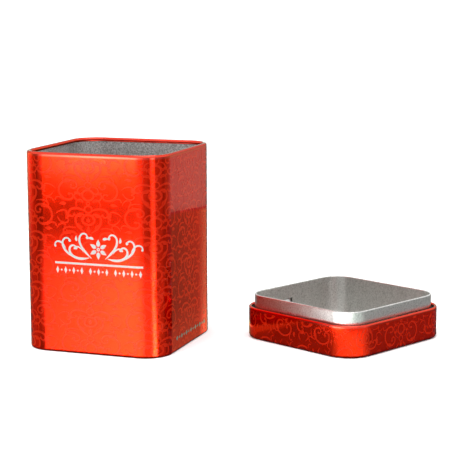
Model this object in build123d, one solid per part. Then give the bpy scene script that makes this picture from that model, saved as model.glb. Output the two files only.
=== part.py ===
from build123d import *
import math
import os

# Square printed tin, standing open, with its plug lid lying upside down beside it on the same surface.
# Millimetres, +Z up. The origin is the centre of the tin's base, and its decorated front faces -Y.

# Driving dimensions
SHEET = 0.25                # tinplate, every piece
TIN_WIDTH = 80.0            # outside width of the square body, both ways
TIN_HEIGHT = 105.4          # base to rim
CORNER_RADIUS = 14.2        # outside radius of the body's upright corners
RIM_BEAD = 2.3              # diameter of the curl turned in along the mouth
LID_WIDTH = 81.4            # outside width of the lid's skirt
LID_SKIRT = 17.3            # lid's top face to the skirt's rim
LID_BEAD = 1.6              # diameter of the curl turned in along the skirt's rim
LID_EDGE_RADIUS = 2.0       # outside radius between the lid's top and its skirt
NECK_REACH = 6.6            # how far the neck stands out past the skirt's rim
NECK_CLEARANCE = 0.2        # gap between the neck and the mouth, each side

# Where the open lid lies
LID_PLACE = (113.5, 43.0)   # its centre on the surface
LID_TURN = 64.0             # degrees about +Z

# Base seam: the wall turns under the base and up inside it, round the panel's flange
SEAM_RADIUS = 1.0           # outside radius of both lower bends
SEAM_WIDTH = 2.2            # outside width of the turned-under channel
BASE_RECESS = 3.15          # surface to the base panel's underside
BASE_EDGE_RADIUS = 0.8      # outside radius between the base panel and its flange

# Side seam: the sheet's two ends locked together, pressed flat inside the back wall
LOCK_WIDTH = 3.2            # width of the folded band
LOCK_DEPTH = 0.5            # its thickness inside the wall
LOCK_X = 21.0               # its centre along the back wall
LOCK_MARGIN = 1.2           # bare wall between the band and the rim's curl or the base panel
LOCK_LINE = 0.35            # width of the line that the fold leaves outside
LOCK_LINE_DEPTH = 0.1       # depth of that line

# Neck ring: a hemmed collar held under the skirt's curl by two lanced tongues
HEM_RADIUS = 0.5            # outside radius of the fold along the neck's edge
HEM_DROP = 0.5              # length of the folded-in leg
LANCE_WIDTH = 6.5           # each tongue along the wall
LANCE_LENGTH = 3.6          # each tongue from its root to its free edge
LANCE_OFFSET = -3.5         # centre of each tongue from the middle of its wall
LANCE_LEAN = 1.65           # how far its free edge leans out under the curl
LANCE_GAP = 0.12            # cut beside each tongue
LANCE_SLIT = 0.8            # open slit over the free edge
CURL_SWEEP = 285            # degrees that each curl turns through

# Derived sizes
LID_GROWTH = (LID_WIDTH - TIN_WIDTH) / 2
MOUTH_HALF = TIN_WIDTH / 2 - RIM_BEAD
NECK_HALF = MOUTH_HALF - NECK_CLEARANCE
NECK_RADIUS = CORNER_RADIUS - RIM_BEAD - NECK_CLEARANCE
NECK_TOP = LID_SKIRT + NECK_REACH
LANCE_TOP = LID_SKIRT - LID_BEAD - LANCE_SLIT


def strip(x_low, x_high, z_low, z_high):
    """A straight piece of a section, x outwards from the wall's outer face and z up."""
    middle = ((x_low + x_high) / 2, (z_low + z_high) / 2)
    return Pos(*middle) * Rectangle(x_high - x_low, z_high - z_low)


def bend(centre, radius, start, turn):
    """A piece of sheet bent to an outside radius, from the start angle through the turn."""
    inner = radius - SHEET
    ends = []
    for angle in (start, start + turn):
        ray = Vector(math.cos(math.radians(angle)), math.sin(math.radians(angle)))
        ends.append(Line(Vector(*centre) + ray * inner, Vector(*centre) + ray * radius))
    arcs = [CenterArc(centre, size, start, turn) for size in (inner, radius)]
    return make_face(ends + arcs)


def curl(diameter, top):
    """The bead at the upper edge of a wall, turned inwards and down."""
    radius = diameter / 2
    return bend((-radius, top - radius), radius, 0, CURL_SWEEP)


def ring(section, half, corner_radius):
    """A section carried round a rounded square of the given half width."""
    flat = half - corner_radius
    side = extrude(Plane.XZ * Pos(half, 0) * section, amount=flat, both=True)
    corner_plane = Plane.XZ.offset(-flat)
    axis = Axis((flat, flat, 0), (0, 0, 1))
    corner = revolve(corner_plane * Pos(half, 0) * section, axis, revolution_arc=90)
    quarters = [Rot(0, 0, turn) * piece for turn in (0, 90, 180, 270) for piece in (side, corner)]
    return quarters[0].fuse(*quarters[1:]).clean()


def slab(half, corner_radius, z_low):
    """A flat sheet with a rounded square outline."""
    outline = RectangleRounded(2 * half, 2 * half, corner_radius)
    return Pos(0, 0, z_low) * extrude(outline, amount=SHEET)


def body_wall():
    """The printed wall: rim curl, side seam and the turned-under channel of the base seam."""
    section = strip(-SHEET, 0, SEAM_RADIUS, TIN_HEIGHT - RIM_BEAD / 2)
    section += curl(RIM_BEAD, TIN_HEIGHT)
    section += bend((-SEAM_RADIUS, SEAM_RADIUS), SEAM_RADIUS, -90, 90)
    section += strip(SEAM_RADIUS - SEAM_WIDTH, -SEAM_RADIUS, 0, SHEET)
    section += bend((SEAM_RADIUS - SEAM_WIDTH, SEAM_RADIUS), SEAM_RADIUS, 180, 90)
    section += strip(-SEAM_WIDTH, SHEET - SEAM_WIDTH, SEAM_RADIUS, BASE_RECESS)
    wall = ring(section, TIN_WIDTH / 2, CORNER_RADIUS)

    lock_low = BASE_RECESS + SHEET + LOCK_MARGIN
    lock_height = TIN_HEIGHT - RIM_BEAD - LOCK_MARGIN - lock_low
    back = TIN_WIDTH / 2
    lock = Box(LOCK_WIDTH, LOCK_DEPTH, lock_height, align=(Align.CENTER, Align.MAX, Align.MIN))
    groove = Box(LOCK_LINE, LOCK_LINE_DEPTH, lock_height, align=(Align.CENTER, Align.MAX, Align.MIN))
    wall += Pos(LOCK_X, back - SHEET, lock_low) * lock
    return wall - Pos(LOCK_X - LOCK_WIDTH / 2, back, lock_low) * groove


def base_panel():
    """The recessed base, with a flange turned down inside the wall."""
    top = BASE_RECESS + SHEET
    inset = SHEET + BASE_EDGE_RADIUS
    section = bend((-inset, top - BASE_EDGE_RADIUS), BASE_EDGE_RADIUS, 0, 90)
    section += strip(-2 * SHEET, -SHEET, SEAM_RADIUS, top - BASE_EDGE_RADIUS)
    edge = ring(section, TIN_WIDTH / 2, CORNER_RADIUS)
    return edge + slab(TIN_WIDTH / 2 - inset, CORNER_RADIUS - inset, BASE_RECESS)


def lid_shell():
    """The drawn lid, printed outside, upside down: top panel at the surface and skirt upwards."""
    radius = CORNER_RADIUS + LID_GROWTH
    section = bend((-LID_EDGE_RADIUS, LID_EDGE_RADIUS), LID_EDGE_RADIUS, -90, 90)
    section += strip(-SHEET, 0, LID_EDGE_RADIUS, LID_SKIRT - LID_BEAD / 2)
    section += curl(LID_BEAD, LID_SKIRT)
    panel = slab(LID_WIDTH / 2 - LID_EDGE_RADIUS, radius - LID_EDGE_RADIUS, 0)
    return ring(section, LID_WIDTH / 2, radius) + panel


def lid_neck_ring():
    """The plain collar inside the lid, from the top panel to past the skirt's rim."""
    fold = NECK_TOP - HEM_RADIUS
    section = strip(-SHEET, 0, SHEET, fold)
    section += bend((-HEM_RADIUS, fold), HEM_RADIUS, 0, 180)
    section += strip(-2 * HEM_RADIUS, SHEET - 2 * HEM_RADIUS, fold - HEM_DROP, fold)
    collar = ring(section, NECK_HALF, NECK_RADIUS)

    root = LANCE_TOP - LANCE_LENGTH
    window = Box(4 * SHEET, LANCE_WIDTH + 2 * LANCE_GAP, LANCE_LENGTH + LANCE_SLIT,
                 align=(Align.CENTER, Align.CENTER, Align.MIN))
    leaf = make_face(Polyline(
        (-SHEET, root), (0, root), (LANCE_LEAN, LANCE_TOP), (LANCE_LEAN - SHEET, LANCE_TOP), close=True))
    tongue = extrude(Plane.XZ * Pos(NECK_HALF, 0) * leaf, amount=LANCE_WIDTH / 2, both=True)
    for turn in (90, 270):
        place = Rot(0, 0, turn) * Pos(0, -LANCE_OFFSET, 0)
        collar -= place * Pos(NECK_HALF - SHEET / 2, 0, root) * window
        collar += place * tongue
    return collar


def lay_lid(piece):
    """Turn a piece of the lid and put it where the open lid lies."""
    return Pos(*LID_PLACE, 0) * Rot(0, 0, LID_TURN) * piece


pieces = {
    "body_wall": body_wall(),
    "base_panel": base_panel(),
    "lid_shell": lay_lid(lid_shell()),
    "lid_neck_ring": lay_lid(lid_neck_ring()),
}

os.makedirs("parts", exist_ok=True)
for name, piece in pieces.items():
    piece.label = name
    export_step(piece, f"parts/{name}.step")
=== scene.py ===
import math
import bpy
from mathutils import Euler, Matrix, Vector


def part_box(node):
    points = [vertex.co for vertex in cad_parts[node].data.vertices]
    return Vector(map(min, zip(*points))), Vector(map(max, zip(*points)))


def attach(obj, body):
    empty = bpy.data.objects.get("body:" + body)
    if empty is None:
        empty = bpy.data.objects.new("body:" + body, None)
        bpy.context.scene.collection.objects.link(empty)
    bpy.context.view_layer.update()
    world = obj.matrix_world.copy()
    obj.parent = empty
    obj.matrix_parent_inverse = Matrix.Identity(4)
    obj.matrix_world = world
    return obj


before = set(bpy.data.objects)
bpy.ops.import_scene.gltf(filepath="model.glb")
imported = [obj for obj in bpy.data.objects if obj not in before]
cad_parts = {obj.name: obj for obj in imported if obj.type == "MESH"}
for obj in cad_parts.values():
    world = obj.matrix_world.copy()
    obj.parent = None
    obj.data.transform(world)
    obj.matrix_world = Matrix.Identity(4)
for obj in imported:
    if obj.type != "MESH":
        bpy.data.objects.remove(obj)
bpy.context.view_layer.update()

# Printed square tin, standing open beside its plug lid, which lies upside down.
# The frame is in metres. Sizes below are in millimetres, and mesh code turns them into metres.
MM = 0.001

# Sheet metal, with the same sizes as the CAD
SHEET = 0.25
CORNER_RADIUS = 14.2
RIM_BEAD = 2.3
SEAM_RADIUS = 1.0
LID_TURN = 64.0
LID_CORNER_RADIUS = 14.9
LID_BEAD = 1.6
LID_EDGE_RADIUS = 2.0

# Printed ornament
PRINT_LIFT = 0.008          # how far the outlines lie off the sheet
LINE_LIFT = 0.028           # the lines, over all of the outlines
MARK_LIFT = 0.056           # the emblem and the small marks, over all of the lines
STACK = 0.0004              # how far each stroke lies over the one before it
THICK = 1.2                 # width of the main scroll lines
FINE = 0.85
KEYLINE = 0.18              # how far the dark outline stands out round a line
LID_LINE = -0.17            # added at each edge of the lid's lines, which are thinner
TILE = (36.95, 33.6)        # width and height that the scroll tile is drawn at
TILE_SCALE = 0.8            # its size in print
TIN_TILES = 8               # tiles round the tin, an even number
EMBLEM_PLACE = (5.3, 48.0)  # middle of the emblem's rule, right of the front's middle and up
RULE_LENGTH = 49.4
RULE_THICKNESS = 1.05
MARK_PITCH = 2.3            # between the small marks under the rule
MARK_DROP = 3.7             # from the rule down to their middles
SIDE_ROW_HEIGHT = 7.0       # the row of marks low on the right face
SIDE_ROW_MIDDLE = 2.0       # back from that face's middle
SIDE_ROW_COUNT = 13
SIDE_ROW_PITCH = 3.4

# Camera, at the photograph's viewing angle
CAMERA_PLACE = (0.3093, -0.7064, 0.1887)
CAMERA_HEADING = 19.411
CAMERA_DIP = 9.343
CAMERA_ROLL = 0.18
CAMERA_LENS = 115.25


def link(name, mesh):
    """A new object with that mesh, light or camera, in the scene."""
    made = bpy.data.objects.new(name, mesh)
    bpy.context.scene.collection.objects.link(made)
    return made


# ---- Walls, unrolled ----

class Wall:
    """A rounded square wall's outside, unrolled: s runs round it from the middle of its front."""

    def __init__(self, half, radius, low, high, place=(0, 0), turn=0):
        self.low = low
        self.high = high
        self.flat = half - radius
        self.half = half
        self.radius = radius
        self.arc = radius * math.pi / 2
        self.quarter = 2 * self.flat + self.arc
        self.matrix = Matrix.Translation((*place, 0)) @ Matrix.Rotation(math.radians(turn), 4, "Z")

    @property
    def length(self):
        return 4 * self.quarter

    def point(self, s, z, lift=0.0):
        """The point at s and z, lifted off the wall, in metres in the row frame."""
        side = math.floor(s / self.quarter + 0.5)
        along = s - side * self.quarter
        over = max(0, abs(along) - self.flat) / self.radius
        reach = self.radius + lift
        x = math.copysign(min(abs(along), self.flat) + reach * math.sin(over), along)
        y = -self.flat - reach * math.cos(over)
        turned = Matrix.Rotation(side * math.pi / 2, 4, "Z") @ Vector((x, y, z))
        return (self.matrix @ turned) * MM

    def clamp(self, place):
        """The nearest place within the printed band."""
        return Vector((place.x, min(max(place.y, self.low), self.high)))


class Blank:
    """The lid's printed face as the flat sheet it was drawn from, with (0, 0) at its middle."""

    def __init__(self, wall):
        self.wall = wall
        self.corner = wall.radius - LID_EDGE_RADIUS
        self.bend = LID_EDGE_RADIUS * math.pi / 2
        self.reach = self.bend + wall.high - LID_EDGE_RADIUS

    def foot(self, place):
        """The nearest point of the flat top panel, and the way from there to the place."""
        core = Vector([min(max(v, -self.wall.flat), self.wall.flat) for v in place])
        away = place - core
        if away.length <= self.corner:
            return place, Vector((0, 0))
        foot = core + away.normalized() * self.corner
        return foot, place - foot

    def point(self, x, y, lift=0.0):
        """The point that a place on the flat sheet has on the lid, in metres in the row frame. The place
        is seen from the printed side, so on the upturned lid its x runs the other way."""
        foot, away = self.foot(Vector((x, y)))
        angle = min(away.length, self.bend) / LID_EDGE_RADIUS
        out = (LID_EDGE_RADIUS + lift) * math.sin(angle)
        up = LID_EDGE_RADIUS - (LID_EDGE_RADIUS + lift) * math.cos(angle)
        up += max(0, away.length - self.bend)
        spot = foot + away.normalized() * out if away.length > 0 else foot
        return (self.wall.matrix @ Vector((-spot.x, spot.y, up))) * MM

    def clamp(self, place):
        foot, away = self.foot(place)
        return foot + away.normalized() * self.reach if away.length > self.reach else place


def measure_tin():
    low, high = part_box("body_wall")
    return Wall((high.x - low.x) / MM / 2, CORNER_RADIUS, SEAM_RADIUS + 0.3, high.z / MM - RIM_BEAD)


def measure_lid():
    """The lid's wall: its half width follows from the box of the turned rounded square."""
    low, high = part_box("lid_shell")
    middle = (low + high) / 2 / MM
    turn = math.radians(LID_TURN)
    reach = (high.x - low.x) / MM / 2 - LID_CORNER_RADIUS
    half = reach / (math.cos(turn) + math.sin(turn)) + LID_CORNER_RADIUS
    top = high.z / MM - LID_BEAD
    return Wall(half, LID_CORNER_RADIUS, 0, top, (middle.x, middle.y), LID_TURN)


# ---- Pen strokes: lists of (x, y, half width) ----

def scroll(start, heading, length, bend, curl, power=2.0, line=FINE, point=1.0, bulb=1.35):
    """A line that curves more and more from bend to curl (1/mm), and ends in a bulb. Its first end is
    cut to the share point of its width."""
    ball = line * bulb / 2
    neck = length - 2 * ball
    spans = max(8, int(neck / 0.8))
    stops = [neck * i / spans for i in range(spans + 1)]
    stops += [neck + ball * (1 - math.cos(math.pi * i / 6)) for i in range(1, 7)]
    x, y = start
    angle = math.radians(heading)
    last = 0
    stroke = []
    for stop in stops:
        step = stop - last
        turn = (bend + (curl - bend) * ((last + stop) / 2 / length) ** power) * step
        x += step * math.cos(angle + turn / 2)
        y += step * math.sin(angle + turn / 2)
        angle += turn
        last = stop
        left = length - stop
        width = math.sqrt(max(0, ball ** 2 - (left - ball) ** 2)) if stop > neck else 0
        if left > ball:
            width = max(width, line / 2 * (0.62 + 0.38 * min(1, 2 * left / length)))
        stroke.append((x, y, width * (point + (1 - point) * min(1, stop / 4))))
    return stroke


def oval(centre, wide, tall, line=FINE, steps=28):
    """A closed oval line."""
    stroke = []
    for i in range(steps + 1):
        angle = 2 * math.pi * i / steps
        x = centre[0] + wide / 2 * math.cos(angle)
        y = centre[1] + tall / 2 * math.sin(angle)
        stroke.append((x, y, line / 2))
    return stroke


def leaf(start, heading, length, bend, wide, steps=8):
    """A leaf: widest before its middle, pointed at its tip."""
    x, y = start
    angle = math.radians(heading)
    stroke = []
    for i in range(steps + 1):
        stroke.append((x, y, 0.06 + wide / 2 * math.sin(math.pi * (i / steps) ** 0.7)))
        x += length / steps * math.cos(angle)
        y += length / steps * math.sin(angle)
        angle += bend * length / steps
    return stroke


def mirrored(strokes):
    """The strokes and their mirror images about x = 0."""
    return strokes + [[(-x, y, w) for x, y, w in stroke] for stroke in strokes]


def scroll_tile():
    """One tile of the scrollwork: a column of rings with scrolls to both sides."""
    middle = [
        oval((0, 4.2), 6.4, 6.8, THICK),
        oval((0, 10.6), 3.8, 4.0),
        leaf((0, 13.0), 90, 4.8, 0, 2.2),
        oval((0, 21.8), 7.0, 6.4, THICK),
        leaf((0, 20.0), 90, 3.6, 0, 1.9),
        oval((0, 28.6), 4.2, 4.4),
        oval((0, 32.4), 1.8, 1.8, steps=16),
    ]
    sides = [
        scroll((16.4, 7.4), 92, 22.5, 0.145, 1.0, 3.4, THICK),
        scroll((16.4, 7.4), 272, 17.5, -0.145, -1.0, 3.0, THICK),
        scroll((1.4, 13.2), 30, 21.5, 0.075, 0.95, 3.2, THICK, 0.5),
        scroll((7.0, 16.2), 20, 13.0, -0.10, -1.05, 2.4, FINE, 0.4),
        scroll((2.2, 9.6), 5, 9.5, -0.25, -1.1, 2.2, FINE, 0.4),
        scroll((2.0, 27.6), 35, 17.0, -0.11, -1.0, 2.6, THICK, 0.5),
        scroll((6.6, 30.2), 75, 9.0, 0.15, 1.15, 2.0, FINE, 0.3),
        scroll((2.4, 0.4), -15, 12.5, 0.20, 1.05, 2.4, FINE, 0.4),
        scroll((17.6, 23.0), 250, 11.5, -0.14, -1.05, 2.2, FINE, 0.3),
        scroll((18.4, 25.0), 130, 10.5, 0.10, 1.05, 2.2, FINE, 0.3),
        scroll((17.9, 15.2), 100, 9.0, 0.16, 1.15, 2.0, FINE, 0.3),
        scroll((13.6, 0.2), 60, 7.5, -0.16, -1.1, 2.0, FINE, 0.3),
        leaf((4.0, 15.0), 75, 4.6, -0.1, 2.0),
        leaf((3.6, 25.4), -40, 4.2, 0.3, 1.8),
        leaf((11.6, 22.6), 100, 4.4, -0.3, 1.9),
        leaf((9.8, 12.9), 10, 3.6, 0.3, 1.7),
        leaf((12.4, 31.6), 20, 4.2, -0.2, 1.7),
        leaf((4.6, 5.8), -20, 3.6, 0.3, 1.6),
    ]
    return middle + mirrored(sides)


def rosette(centre, petals, inner, outer, wide):
    """Petals round a centre."""
    strokes = []
    for i in range(petals):
        heading = 90 + 360 * i / petals
        angle = math.radians(heading)
        start = (centre[0] + inner * math.cos(angle), centre[1] + inner * math.sin(angle))
        strokes.append(leaf(start, heading, outer - inner, 0, wide))
    return strokes


def bar(half_length, thickness, steps=60):
    """A straight bar about the origin."""
    return [(half_length * (2 * i / steps - 1), 0, thickness / 2) for i in range(steps + 1)]


def lozenge(x, y, wide, tall):
    """A diamond of half sizes wide and tall."""
    return [(x + share * wide, y, max(0.03, (1 - abs(share)) * tall)) for share in (-1, -0.5, 0, 0.5, 1)]


def emblem():
    """A flourish over a rule, both about x = 0, with the rule's middle at y = 0."""
    scrolls = [
        scroll((3.9, 3.2), 40, 20.5, 0.02, 0.80, 2.6, 1.15, 0.25),
        scroll((5.2, 3.4), -16, 20.0, 0.055, 0.80, 2.4, 1.3, 0.25),
        scroll((13.2, 3.0), 24, 18.0, 0.045, 0.78, 2.4, 1.15, 0.25),
        scroll((18.4, 7.6), 66, 10.0, -0.10, -0.95, 2.0, 0.95, 0.25),
        scroll((8.4, 6.2), 60, 7.0, -0.10, -1.0, 2.0, 0.85, 0.25),
        leaf((2.6, 13.2), 32, 3.4, -0.3, 1.3),
        leaf((12.0, 11.8), 62, 3.0, 0.3, 1.2),
    ]
    flower = rosette((0, 8.0), 6, 1.4, 5.2, 2.0) + [oval((0, 8.0), 1.3, 1.3, 0.6, 16)]
    return [bar(RULE_LENGTH / 2, RULE_THICKNESS)] + flower + mirrored(scrolls)


def ornament_row():
    """Three groups of small marks under the rule: tall lozenges with dots between them."""
    strokes = []
    for middle, count in ((-16.4, 7), (0.0, 5), (16.4, 7)):
        for i in range(count):
            x = middle + (i - (count - 1) / 2) * MARK_PITCH
            size = (0.8, 1.9) if i % 2 == 0 else (0.65, 0.65)
            strokes.append(lozenge(x, -MARK_DROP, *size))
    return strokes


# ---- Strokes laid on a wall ----

class Inking:
    """A mesh of thin ribbons lying on a printed face."""

    def __init__(self, face, grow=0.0, scale=(1, 1)):
        self.face = face
        self.grow = grow
        self.scale = scale
        self.points = []
        self.normals = []
        self.faces = []

    def stroke(self, path, x=0.0, y=0.0, lift=PRINT_LIFT):
        """One ribbon, with its path's origin at (x, y), cut off where the printed face ends."""
        origin = Vector((x, y))
        spots = [origin + Vector((a * self.scale[0], b * self.scale[1])) for a, b, _ in path]
        last = len(path) - 1
        previous = None
        for i, here in enumerate(spots):
            width = path[i][2] + self.grow
            ahead = spots[min(i + 1, last)] - here
            behind = here - spots[max(i - 1, 0)]
            along = (ahead + behind).normalized()
            if 0 < i < last and ahead.length * behind.length > 0:
                turn = max(1e-6, ahead.angle(behind))
                width = min(width, 0.48 * (ahead.length + behind.length) / turn)
            edge = Vector((-along.y, along.x)) * width
            sides = (here + edge, here - edge)
            kept = [self.face.clamp(side) for side in sides]
            if kept[0] != sides[0] and kept[1] != sides[1]:
                previous = None
                continue
            corner = len(self.points)
            for side in kept:
                self.lay(side, lift)
            if previous is not None:
                self.faces.append((previous, previous + 1, corner + 1, corner))
            previous = corner

    def lay(self, place, lift):
        """A point over the face, with the face's own normal there."""
        point = self.face.point(*place, lift)
        self.points.append(point)
        self.normals.append((self.face.point(*place, lift + 1) - point).normalized())

    def piece(self, name, material, body):
        mesh = bpy.data.meshes.new(name)
        mesh.from_pydata(self.points, [], self.faces)
        mesh.polygons.foreach_set("use_smooth", [True] * len(mesh.polygons))
        mesh.normals_split_custom_set_from_vertices(self.normals)
        mesh.materials.append(material)
        made = link(name, mesh)
        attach(made, body)


def lay_tiles(ink, columns, rows, lift):
    """Scrollwork in the given columns and rows, with every other column half a tile higher."""
    wide, tall = (size * scale for size, scale in zip(TILE, ink.scale))
    tile = scroll_tile()
    for column in columns:
        for row in rows:
            for i, path in enumerate(tile):
                ink.stroke(path, column * wide, (row + column % 2 / 2) * tall, lift + STACK * i)


def print_tin(wall, name, material, grow, lift):
    """Scrollwork all round the tin, in whole tiles."""
    ink = Inking(wall, grow, (wall.length / TIN_TILES / TILE[0], TILE_SCALE))
    rows = math.ceil(wall.high / (TILE[1] * TILE_SCALE)) + 1
    lay_tiles(ink, range(TIN_TILES), range(-1, rows), lift)
    ink.piece(name, material, "tin")


def print_lid(wall, name, material, grow, lift):
    """The same scrollwork over the whole of the lid's flat sheet."""
    ink = Inking(Blank(wall), grow, (TILE_SCALE, TILE_SCALE))
    lay_tiles(ink, range(-2, 3), range(-3, 3), lift)
    ink.piece(name, material, "lid")


def print_emblem(wall, lift):
    """The flourish, the rule and the marks under it, on the front."""
    ink = Inking(wall)
    for i, path in enumerate(emblem() + ornament_row()):
        ink.stroke(path, *EMBLEM_PLACE, lift + STACK * i)
    ink.piece("front_emblem", plain_ink("white_ink", WHITE, WHITE_WORN), "tin")


def print_side_row(wall, lift):
    """Large and small lozenges in turn, low on the right face."""
    ink = Inking(wall)
    for i in range(SIDE_ROW_COUNT):
        s = wall.quarter + SIDE_ROW_MIDDLE + (i - (SIDE_ROW_COUNT - 1) / 2) * SIDE_ROW_PITCH
        size = (1.5, 1.4) if i % 2 == 0 else (1.0, 0.9)
        ink.stroke(lozenge(0, 0, *size), s, SIDE_ROW_HEIGHT, lift)
    ink.piece("side_ornament_row", plain_ink("grey_ink", GREY, GREY_WORN), "tin")


# ---- Node materials ----

class Shade:
    """A material's node tree, with short ways to add to it."""

    def __init__(self, name):
        self.material = bpy.data.materials.new(name)
        self.material.use_nodes = True
        self.tree = self.material.node_tree
        self.shader = self.tree.nodes["Principled BSDF"]

    def put(self, socket, value):
        """Link an output to the socket, or set the socket itself."""
        if isinstance(value, bpy.types.NodeSocket):
            self.tree.links.new(value, socket)
        else:
            socket.default_value = value

    def set(self, **values):
        """Set the shader's sockets; a name's underscores stand for spaces."""
        for name, value in values.items():
            self.put(self.shader.inputs[name.replace("_", " ")], value)

    def node(self, kind, inputs=None, **settings):
        made = self.tree.nodes.new(kind)
        for name, value in settings.items():
            setattr(made, name, value)
        for name, value in (inputs or {}).items():
            self.put(made.inputs[name], value)
        return made

    def math(self, operation, *values):
        made = self.node("ShaderNodeMath", operation=operation)
        for socket, value in zip(made.inputs, values):
            self.put(socket, value)
        return made.outputs[0]

    def range(self, value, low, high, to_low=0.0, to_high=1.0, smooth=False):
        """value, carried from low..high to to_low..to_high and clamped."""
        made = self.node("ShaderNodeMapRange", interpolation_type="SMOOTHSTEP" if smooth else "LINEAR")
        for socket, number in zip(made.inputs, (value, low, high, to_low, to_high)):
            self.put(socket, number)
        return made.outputs[0]

    def mix(self, share, first, second):
        made = self.node("ShaderNodeMix", data_type="RGBA")
        self.put(made.inputs["Factor"], share)
        for socket, colour in ((made.inputs[6], first), (made.inputs[7], second)):
            self.put(socket, (*colour, 1) if isinstance(colour, tuple) else colour)
        return made.outputs[2]

    def millimetres(self, wall=None):
        """Object coordinates in millimetres, in the wall's own frame where one is given."""
        place = self.node("ShaderNodeTexCoord").outputs["Object"]
        place = self.node("ShaderNodeVectorMath", {0: place, "Scale": 1 / MM}, operation="SCALE").outputs[0]
        if wall is None:
            return place
        turned = self.node("ShaderNodeMapping", {"Vector": place}, vector_type="TEXTURE")
        turned.inputs["Location"].default_value = wall.matrix.to_translation()
        turned.inputs["Rotation"].default_value = wall.matrix.to_euler()
        return turned.outputs[0]

    def noise(self, place, size, detail=2.0, roughness=0.5):
        """Noise of 0 to 1 about 0.5, with features about the given size in millimetres."""
        inputs = {"Vector": place, "Scale": 1 / size, "Detail": detail, "Roughness": roughness}
        return self.node("ShaderNodeTexNoise", inputs).outputs[0]

    def specks(self, place, spacing, size):
        """1 on sparse small round specks, elsewhere 0; spacing and size in millimetres."""
        inputs = {"Vector": place, "Scale": 1 / spacing}
        cells = self.node("ShaderNodeTexVoronoi", inputs)
        near = self.math("LESS_THAN", cells.outputs["Distance"], size / spacing)
        kept = self.math("GREATER_THAN", self.split(cells.outputs["Color"])[0], 0.5)
        return self.math("MULTIPLY", near, kept)

    def split(self, place):
        return self.node("ShaderNodeSeparateXYZ", {0: place}).outputs

    def bump(self, height, depth, under=None):
        """A normal bumped by height, which is 0 to 1, times depth in millimetres."""
        made = self.node("ShaderNodeBump", {"Height": height, "Distance": depth * MM, "Strength": 1.0})
        if under is not None:
            self.put(made.inputs["Normal"], under)
        return made.outputs[0]


def depth_in_wall(shade, place, wall):
    """How far a point is outside the wall's outer face, in millimetres; negative inside it."""
    x, y, _ = shade.split(place)
    x = shade.math("SUBTRACT", shade.math("ABSOLUTE", x), wall.flat)
    y = shade.math("SUBTRACT", shade.math("ABSOLUTE", y), wall.flat)
    return rounded(shade, x, y, wall.radius)


def rounded(shade, x, y, radius):
    """Distance outside a corner of that radius, from distances past the two faces' start."""
    squares = [shade.math("POWER", shade.math("MAXIMUM", v, 0.0), 2.0) for v in (x, y)]
    corner = shade.math("SQRT", shade.math("ADD", *squares))
    inside = shade.math("MINIMUM", shade.math("MAXIMUM", x, y), 0.0)
    return shade.math("SUBTRACT", shade.math("ADD", corner, inside), radius)


def printed_side(shade, place, wall, edge_radius):
    """1 on the sheet's printed side, 0 on its plain side."""
    depth = depth_in_wall(shade, place, wall)
    z = shade.split(place)[2]
    past = shade.math("ADD", depth, edge_radius)
    below = shade.math("SUBTRACT", edge_radius, z)
    outside = shade.math("GREATER_THAN", rounded(shade, past, below, edge_radius), -SHEET / 2)
    return shade.math("MAXIMUM", outside, shade.math("GREATER_THAN", z, wall.high))


VARNISH = 1.15                  # the varnish's index: it shows white only at a glancing angle
EDGE_TINT = (0.3, 0.34, 0.10)   # the ink is darker where light crosses it at a slant
RED = (0.92, 0.020, 0.0003)
RED_DEEP = (0.84, 0.014, 0.0002)
LINE_RED = (0.92, 0.031, 0.007)
LINE_RED_DEEP = (0.86, 0.026, 0.005)
KEY_RED = (0.86, 0.015, 0.0004)
KEY_RED_DEEP = (0.78, 0.012, 0.0003)
SPECK_RED = (0.10, 0.004, 0.002)
# the curl's pale pink: partly worn ink, partly a painted highlight on the bead
WORN_AND_HIGHLIGHT_RED = (0.95, 0.50, 0.40)
CURL_WEAR_AND_HIGHLIGHT = 0.10                # the ink is a little paler on the curl: partly wear, partly a painted highlight
WHITE = (0.70, 0.75, 0.735)
WHITE_WORN = (0.62, 0.55, 0.53)
GREY = (0.19, 0.18, 0.18)
GREY_WORN = (0.16, 0.10, 0.10)
# Tinplate, its darkest and palest grain: strong inside the tin, weaker on the lid
TIN_BRIGHT = ((0.44, 0.435, 0.42), (1.0, 1.0, 0.99))
TIN_SATIN = ((0.56, 0.555, 0.535), (0.80, 0.795, 0.77))

# Unevenness: the width that it has along the surface and its depth, in millimetres
WAVE = (26.0, 0.10)
RIPPLE = (6.0, 0.007)
PEEL = (1.1, 0.002)
PLAIN_WAVE = (20.0, 0.08)   # the base panel's and the neck's
GRAIN = 0.8                 # width of the tin's grain
CLOUD = 14.0                # of the faint patches in its colour
FACETS = 0.014              # depth of the grain on the printed sheets' bare side
PLAIN_GRAIN = 0.004         # its depth on the base panel and the neck
MOTTLE = 0.7                # width of the red ink's mottling
PATCH = 22.0                # of the patches in its roughness
FLECK_DEPTH = 0.003         # of the opaque inks
SPECK_SPACING = 6.0
SPECK_SIZE = 0.3

# Roughness, lowest and highest
PRINTED = (0.10, 0.13)
BARE = (0.30, 0.42)
PLAIN = (0.26, 0.38)
SCROLL_LINES = (0.16, 0.22)
OPAQUE_INK = (0.35, 0.5)
VARNISH_ROUGHNESS = 0.015


def tinplate_colour(shade, place, tones):
    """Grainy tinplate: fine speckle over faint cloudy patches. Gives the colour and the grain."""
    grain = shade.noise(place, GRAIN, 3.0, 0.7)
    cloud = shade.noise(place, CLOUD)
    middle = tuple((a + b) / 2 for a, b in zip(*tones))
    colour = shade.mix(shade.range(grain, 0.40, 0.60), *tones)
    return shade.mix(shade.range(cloud, 0.3, 0.7, 0.1, 0.3), colour, middle), grain


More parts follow.
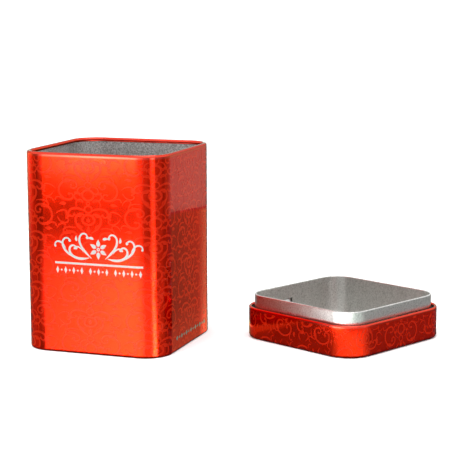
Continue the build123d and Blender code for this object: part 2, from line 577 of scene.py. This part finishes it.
def ink_colour(shade, place, wall):
    """Transparent red ink, mottled, with a few dark specks, and paler on the curl: partly wear, partly a
    painted highlight.
    """
    mottle = shade.noise(place, MOTTLE, 2.0, 0.6)
    red = shade.mix(shade.range(mottle, 0.3, 0.7, 0.0, 0.5), RED, RED_DEEP)
    red = shade.mix(shade.specks(place, SPECK_SPACING, SPECK_SIZE), red, SPECK_RED)
    # Painted highlight: the top of the curl is mixed a little towards pale pink, partly as wear
    on_curl = shade.range(shade.split(place)[2], wall.high, wall.high + 0.5)
    return shade.mix(shade.math("MULTIPLY", on_curl, CURL_WEAR_AND_HIGHLIGHT), red, WORN_AND_HIGHLIGHT_RED)


def sheet_normal(shade, place, grain, bare):
    """The sheet's waves and ripples, with the grain's facets on its bare side."""
    normal = shade.bump(shade.noise(place, WAVE[0], 0.0), WAVE[1])
    normal = shade.bump(shade.noise(place, RIPPLE[0], 0.0), RIPPLE[1], normal)
    normal = shade.bump(shade.math("MULTIPLY", grain, bare), FACETS, normal)
    return shade.bump(shade.noise(place, PEEL[0], 1.0), PEEL[1], normal)


def printed_sheet(name, wall, edge_radius, tones):
    """Tinplate with transparent red ink and varnish on one side and bare tin on the other."""
    shade = Shade(name)
    place = shade.millimetres(wall)
    printed = printed_side(shade, place, wall, edge_radius)
    bare = shade.math("SUBTRACT", 1.0, printed)
    tin, grain = tinplate_colour(shade, place, tones)
    shade.set(Base_Color=shade.mix(printed, tin, ink_colour(shade, place, wall)), Metallic=1.0)
    shade.set(Specular_Tint=shade.mix(printed, (1.0, 1.0, 1.0), EDGE_TINT))
    shade.set(Coat_Weight=printed, Coat_Roughness=VARNISH_ROUGHNESS, Coat_IOR=VARNISH)
    smooth = shade.range(shade.noise(place, PATCH), 0.3, 0.7, *PRINTED)
    rough = shade.range(grain, 0.3, 0.7, *BARE)
    smooth = shade.math("MULTIPLY", printed, smooth)
    rough = shade.math("MULTIPLY", bare, rough)
    shade.set(Roughness=shade.math("ADD", smooth, rough))
    shade.set(Normal=sheet_normal(shade, place, grain, bare))
    return shade.material


def bare_tinplate(name, wall, tones):
    """Plain tinplate, the same on both sides."""
    shade = Shade(name)
    place = shade.millimetres(wall)
    colour, grain = tinplate_colour(shade, place, tones)
    shade.set(Base_Color=colour, Metallic=1.0, Roughness=shade.range(grain, 0.3, 0.7, *PLAIN))
    normal = shade.bump(shade.noise(place, PLAIN_WAVE[0], 0.0), PLAIN_WAVE[1])
    shade.set(Normal=shade.bump(grain, PLAIN_GRAIN, normal))
    return shade.material


def scroll_ink(name, colour, deep, metal):
    """Red ink over tinplate: the less metal, the more it shows on a dark ground."""
    shade = Shade(name)
    place = shade.millimetres()
    fleck = shade.noise(place, 0.6, 2.0, 0.6)
    shade.set(Base_Color=shade.mix(shade.range(fleck, 0.3, 0.7), colour, deep), Metallic=metal)
    shade.set(Roughness=shade.range(fleck, 0.3, 0.7, *SCROLL_LINES))
    shade.set(Specular_Tint=(*EDGE_TINT, 1.0), Specular_IOR_Level=0.0)
    shade.set(Coat_Weight=1.0, Coat_Roughness=VARNISH_ROUGHNESS, Coat_IOR=VARNISH)
    return shade.material


def plain_ink(name, colour, worn):
    """An opaque printed ink, a little uneven, under the same varnish."""
    shade = Shade(name)
    place = shade.millimetres()
    fleck = shade.noise(place, 0.35, 2.0, 0.6)
    shade.set(Base_Color=shade.mix(shade.range(fleck, 0.55, 0.75), colour, worn))
    shade.set(Roughness=shade.range(fleck, 0.3, 0.7, *OPAQUE_INK))
    shade.set(Coat_Weight=1.0, Coat_Roughness=2 * VARNISH_ROUGHNESS, Coat_IOR=VARNISH)
    shade.set(Normal=shade.bump(fleck, FLECK_DEPTH))
    return shade.material


# ---- Stage ----

def set_camera():
    data = bpy.data.cameras.new("camera")
    data.lens = CAMERA_LENS
    data.sensor_width = 36
    data.clip_end = 200
    camera = link("camera", data)
    camera.location = CAMERA_PLACE
    turn = Euler((math.radians(90 - CAMERA_DIP), 0, math.radians(CAMERA_HEADING))).to_matrix()
    roll = Euler((0, 0, math.radians(-CAMERA_ROLL))).to_matrix()
    camera.rotation_euler = (turn @ roll).to_euler()
    bpy.context.scene.camera = camera


ANYWHERE = 100.0            # metres, further than any reflection reaches


def glow_mesh(name, tint, points, faces, cover, glow, near):
    """A glowing sheet of the stage that only an object's first reflection sees, and only from nearer
    than near metres. cover and glow hold each point's opacity and brightness."""
    mesh = bpy.data.meshes.new(name)
    mesh.from_pydata(points, [], faces)
    for attribute, values in (("cover", cover), ("glow", glow)):
        mesh.attributes.new(attribute, "FLOAT", "POINT").data.foreach_set("value", values)
    mesh.materials.append(glow_material(name, tint, near))
    sheet = link(name, mesh)
    for ray in ("camera", "diffuse", "shadow", "transmission", "volume_scatter"):
        setattr(sheet, "visible_" + ray, False)


def glow_fan(name, tint, reach, rays, height=0.0002, near=ANYWHERE):
    """A glowing part of the floor. Each ray starts at (x, y) in millimetres and runs on an azimuth in
    degrees, from the front (-Y) towards +X, with a brightness at each distance of reach, in metres.
    The fan fades out towards its first and last ray and its far end."""
    points, cover, glow = [], [], []
    for number, (x, y, azimuth, levels) in enumerate(rays):
        angle = math.radians(azimuth)
        start = Vector((x * MM, y * MM, height))
        along = Vector((math.sin(angle), -math.cos(angle), 0))
        for distance, level in zip(reach, levels):
            points.append(start + along * distance)
            cover.append(float(0 < number < len(rays) - 1 and distance < reach[-1]))
            glow.append(level)
    row = len(reach)
    faces = [(i * row + j, i * row + j + 1, (i + 1) * row + j + 1, (i + 1) * row + j)
             for i in range(len(rays) - 1) for j in range(row - 1)]
    glow_mesh(name, tint, points, faces, cover, glow, near)


def glow_disc(name, tint, place, radius, glow, steps=32):
    """A glowing disc that fades out towards its edge."""
    points = [Vector(place)]
    for i in range(steps):
        angle = 2 * math.pi * i / steps
        points.append(points[0] + Vector((radius * math.cos(angle), radius * math.sin(angle), 0)))
    faces = [(0, i + 1, (i + 1) % steps + 1) for i in range(steps)]
    glow_mesh(name, tint, points, faces, [1.0] + [0.0] * steps, [glow] * (steps + 1), ANYWHERE)


def scaled(levels, share):
    """The levels of a ray, brighter or dimmer."""
    return [level * share for level in levels]


def glow_material(name, tint, near):
    """Light of the mesh's glow, seen through its cover."""
    shade = Shade(name)
    shade.tree.nodes.remove(shade.shader)
    cover = shade.node("ShaderNodeAttribute", attribute_name="cover").outputs["Fac"]
    glow = shade.node("ShaderNodeAttribute", attribute_name="glow").outputs["Fac"]
    path = shade.node("ShaderNodeLightPath").outputs
    cover = shade.math("MULTIPLY", cover, shade.math("LESS_THAN", path["Ray Depth"], 1.5))
    cover = shade.math("MULTIPLY", cover, shade.math("LESS_THAN", path["Ray Length"], near))
    light = shade.node("ShaderNodeEmission", {"Color": (*tint, 1), "Strength": glow}).outputs[0]
    clear = shade.node("ShaderNodeBsdfTransparent").outputs[0]
    mixed = shade.node("ShaderNodeMixShader", {0: cover, 1: clear, 2: light}).outputs[0]
    shade.put(shade.tree.nodes["Material Output"].inputs["Surface"], mixed)
    return shade.material


def softbox(name, place, aim, size, power):
    """A round soft light at a place, aimed at a point."""
    data = bpy.data.lights.new(name, "AREA")
    data.shape = "DISK"
    data.size = size
    data.energy = power
    lamp = link(name, data)
    lamp.location = place
    lamp.rotation_euler = (Vector(aim) - Vector(place)).to_track_quat("-Z", "Y").to_euler()
    lamp.visible_camera = False


def soft_sun(name, azimuth, height, width, strength):
    """Even soft light from a wide patch of the sky; azimuth, height and width in degrees."""
    data = bpy.data.lights.new(name, "SUN")
    data.angle = math.radians(width)
    data.energy = strength
    lamp = link(name, data)
    lamp.rotation_euler = (math.radians(90 - height), 0, math.radians(azimuth))
    lamp.visible_glossy = False


FLOOR_HALF = 60             # metres, so that no view sees its edge
FLOOR_SEEN = 0.93
FLOOR_REFLECTED = 0.15
WORLD_LIGHT = 1.0

# How bright the floor looks in reflections, at each distance in metres from the piece that reflects it.
# FRONT and BRIGHT are for the tin's front, EDGE for the front's left edge, CORNER and RIGHT for the two
# halves of the near corner, and LEFT for the left corner.
GLOW_REACH = (0.004, 0.12, 0.20, 0.27, 0.33, 0.43, 0.54, 0.62, 0.72, 0.85, 2.2, 2.6)
FRONT_GLOW = (4.0, 3.9, 3.5, 2.9, 1.4, 0.55, 0.6, 1.1, 3.2, 10.5, 13.0, 13.0)
BRIGHT_GLOW = (5.0, 5.2, 5.0, 4.2, 2.0, 0.75, 0.8, 1.2, 2.4, 6.6, 9.0, 9.0)
EDGE_GLOW = (2.6, 2.2, 1.9, 1.5, 0.7, 0.3, 0.3, 0.35, 0.9, 2.7, 4.4, 4.4)
CORNER_GLOW = (4.4, 4.3, 3.6, 2.1, 1.5, 1.2, 1.4, 1.7, 1.6, 2.2, 2.5, 2.5)
RIGHT_GLOW = (9.5, 6.4, 5.8, 4.4, 2.0, 1.5, 1.7, 1.8, 1.7, 2.6, 2.6, 2.6)
LEFT_GLOW = (0.5, 0.5, 0.5, 0.5, 0.7, 1.0, 1.1, 1.2, 1.6, 2.0, 2.0, 2.0)
DARK_GLOW = (0.45,) * len(GLOW_REACH)
# The same for the lid's near corner and the neck over it
LID_REACH = (0.001, 0.035, 0.05, 0.062, 0.07)
LID_GLOW = (1.4, 1.5, 1.5, 1.5, 1.5)
LID_NEAR = 0.075            # metres; most of the tin is further off, and doesn't reflect this glow
NECK_REACH = (0.055, 0.068, 0.10, 0.12, 0.14)
NECK_GLOW = (1.2, 0.7, 0.45, 0.4, 0.4)
# The same for what the right face sees, first near the tin and then further off
BEHIND_REACH = (0.002, 0.10, 0.25, 0.455, 0.468)
BEHIND_GLOW = (0.60, 0.38, 0.36, 0.36, 0.36)
FAR_REACH = (0.47, 0.50, 2.2, 2.6)
FAR_GLOW = (0.55, 0.7, 0.73, 0.73)


def set_floor():
    mesh = bpy.data.meshes.new("floor")
    corners = [(x * FLOOR_HALF, y * FLOOR_HALF, 0) for x, y in ((-1, -1), (1, -1), (1, 1), (-1, 1))]
    mesh.from_pydata(corners, [], [(0, 1, 2, 3)])
    floor = link("floor", mesh)
    shade = Shade("floor")
    seen = shade.node("ShaderNodeLightPath").outputs["Is Camera Ray"]
    colour = shade.mix(seen, (FLOOR_REFLECTED,) * 3, (FLOOR_SEEN,) * 3)
    shade.set(Base_Color=colour, Roughness=0.9, Specular_IOR_Level=0.0)
    mesh.materials.append(shade.material)


def set_world():
    world = bpy.data.worlds.new("world")
    bpy.context.scene.world = world
    world.use_nodes = True
    background = world.node_tree.nodes["Background"]
    background.inputs["Color"].default_value = (1, 1, 1, 1)
    background.inputs["Strength"].default_value = WORLD_LIGHT


def light_overhead():
    """Even daylight and a softbox, with a dimmer disc under it for reflections."""
    soft_sun("daylight", azimuth=-25, height=60, width=50, strength=1.7)
    softbox("overhead", (0.1, -0.1, 1.2), aim=(0.05, 0, 0), size=1.1, power=9)
    glow_disc("glow_overhead", (1, 0.8, 1.1), (0.05, -0.1, 1.19), radius=0.6, glow=0.8)


def light_front():
    """What the tin's front and its near corner see."""
    glow_fan("glow_front", (1, 1, 1), GLOW_REACH, (
        (-26, -40, -58, scaled(EDGE_GLOW, 0.3)),
        (-26, -40, -33, scaled(EDGE_GLOW, 0.6)),
        (-26, -40, -26.5, EDGE_GLOW),
        (0, -40, -25, FRONT_GLOW),
        (20, -40, -23.5, BRIGHT_GLOW),
        (26, -40, -19, scaled(BRIGHT_GLOW, 0.95)),
        (28, -40, -4, CORNER_GLOW),
        (31, -39, 17, scaled(CORNER_GLOW, 0.4)),
        (33, -38, 42, scaled(RIGHT_GLOW, 0.2)),
        (34, -37, 52, scaled(RIGHT_GLOW, 1.3)),
        (35, -36, 59, scaled(RIGHT_GLOW, 1.3)),
        (36, -35, 67, DARK_GLOW),
        (38, -32, 90, DARK_GLOW),
        (39, -29, 104, DARK_GLOW),
    ))


def light_left():
    """What the tin's left corner sees."""
    glow_fan("glow_left", (1, 0.8, 0.4), GLOW_REACH, (
        (-38, -30, -150, LEFT_GLOW),
        (-36, -34, -107, LEFT_GLOW),
        (-30, -38, -72, DARK_GLOW),
        (-28, -39, -52, DARK_GLOW),
    ))


def light_lid():
    """What the near corner of the lid and of its neck see."""
    glow_fan("glow_lid", (1, 1.4, 1.2), LID_REACH, (
        (118, -5, -67, scaled(LID_GLOW, 0.2)),
        (121, -6, -46, scaled(LID_GLOW, 0.35)),
        (124, -6, -24, scaled(LID_GLOW, 0.75)),
        (129, -6, 12, LID_GLOW),
        (133, -4, 50, LID_GLOW),
        (137, -1, 84, scaled(LID_GLOW, 0.6)),
        (139, 3, 118, scaled(LID_GLOW, 0.15)),
    ), height=0.0003, near=LID_NEAR)
    glow_fan("glow_neck", (1, 1, 1), NECK_REACH, (
        (129, -6, 8, NECK_GLOW),
        (129, -6, 20, NECK_GLOW),
        (133, -4, 50, NECK_GLOW),
        (137, -1, 84, NECK_GLOW),
        (139, 3, 118, NECK_GLOW),
    ), height=0.0004)


def light_behind():
    """What the tin's right face sees."""
    glow_fan("dim_behind", (1, 0.95, 0.45), BEHIND_REACH, (
        (40, -27, 140, scaled(BEHIND_GLOW, 0.8)),
        (40, -26, 157, BEHIND_GLOW),
        (40, 15, 159.5, scaled(BEHIND_GLOW, 1.1)),
        (40, 22, 160, scaled(BEHIND_GLOW, 3.4)),
        (40, 27, 176, scaled(BEHIND_GLOW, 3.4)),
    ))
    glow_fan("glow_behind", (1, 1.5, 1.15), FAR_REACH, (
        (38, -32, 108, FAR_GLOW),
        (38, -32, 124, scaled(FAR_GLOW, 0.5)),
        (40, -26, 157, FAR_GLOW),
        (40, 26, 160, scaled(FAR_GLOW, 1.1)),
        (40, 27, 176, scaled(FAR_GLOW, 1.1)),
    ))


def set_stage():
    set_camera()
    set_floor()
    set_world()
    light_overhead()
    light_front()
    light_left()
    light_lid()
    light_behind()


# ---- Making ----

set_stage()
tin_wall = measure_tin()
lid_wall = measure_lid()
finishes = {
    "body_wall": printed_sheet("printed_body", tin_wall, SEAM_RADIUS, TIN_BRIGHT),
    "base_panel": bare_tinplate("base_tinplate", tin_wall, TIN_BRIGHT),
    "lid_shell": printed_sheet("printed_lid", lid_wall, LID_EDGE_RADIUS, TIN_SATIN),
    "lid_neck_ring": bare_tinplate("neck_tinplate", lid_wall, TIN_SATIN),
}
for node, finish in finishes.items():
    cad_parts[node].material_slots[0].material = finish
line_ink = scroll_ink("line_ink", LINE_RED, LINE_RED_DEEP, 0.5)
key_ink = scroll_ink("key_ink", KEY_RED, KEY_RED_DEEP, 0.85)
print_tin(tin_wall, "body_scroll_outline", key_ink, KEYLINE, PRINT_LIFT)
print_tin(tin_wall, "body_scroll_print", line_ink, 0, LINE_LIFT)
print_lid(lid_wall, "lid_scroll_outline", key_ink, KEYLINE + LID_LINE, PRINT_LIFT)
print_lid(lid_wall, "lid_scroll_print", line_ink, LID_LINE, LINE_LIFT)
print_emblem(tin_wall, MARK_LIFT)
print_side_row(tin_wall, MARK_LIFT)
bpy.context.scene.view_settings.view_transform = "Standard"
